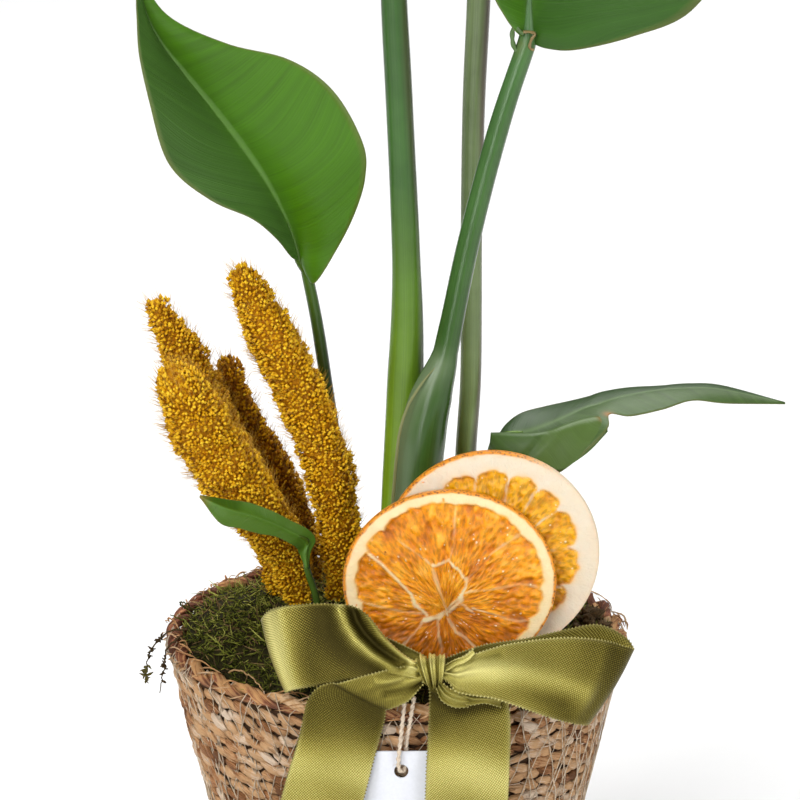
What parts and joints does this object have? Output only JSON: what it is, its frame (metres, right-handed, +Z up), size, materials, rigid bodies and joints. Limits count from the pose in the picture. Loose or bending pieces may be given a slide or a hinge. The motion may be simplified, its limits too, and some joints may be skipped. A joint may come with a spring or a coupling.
{
  "type": "potted bird of paradise plant",
  "caption": "Broad-leaved bird of paradise in a coiled grass basket, topped with moss, dried millet, dried orange slices and a satin ribbon bow with a blank tag.",
  "frame": {"origin": "centre of the basket's flat base, on the surface that it stands on", "axes": "+Z up along the stems, -Y towards the bow at the front, +X to the right seen from the front"},
  "size_m": [0.206, 0.1555, 0.593],
  "materials": {
    "grass_cord": "matte",
    "pot_plastic": "satin",
    "potting_soil": "matte",
    "root": "matte",
    "moss": "matte",
    "stem": "satin",
    "leaf": "satin",
    "millet": "matte",
    "dried_orange": "satin",
    "ribbon": "satin",
    "card": "matte",
    "jute": "matte"
  },
  "bodies": {
    "root": {"basket_wall": "grass_cord", "basket_rim": "grass_cord", "grow_pot": "pot_plastic", "soil": "potting_soil", "root_crown": "root", "moss": "moss", "stem_tall_left": "stem", "stem_tall_back": "stem", "stem_right": "stem", "stem_left": "stem", "stem_low_right": "stem", "stem_small_front": "stem", "leaf_tall_left": "leaf", "leaf_tall_back": "leaf", "leaf_right": "leaf", "leaf_left": "leaf", "leaf_low_right": "leaf", "leaf_small_front": "leaf", "millet_head_front": "millet", "millet_head_left": "millet", "millet_head_back": "millet", "millet_head_right": "millet", "orange_slice_front": "dried_orange", "orange_slice_back": "dried_orange", "ribbon_bow": "ribbon", "tag": "card", "twine": "jute"}
  },
  "joints": []
}
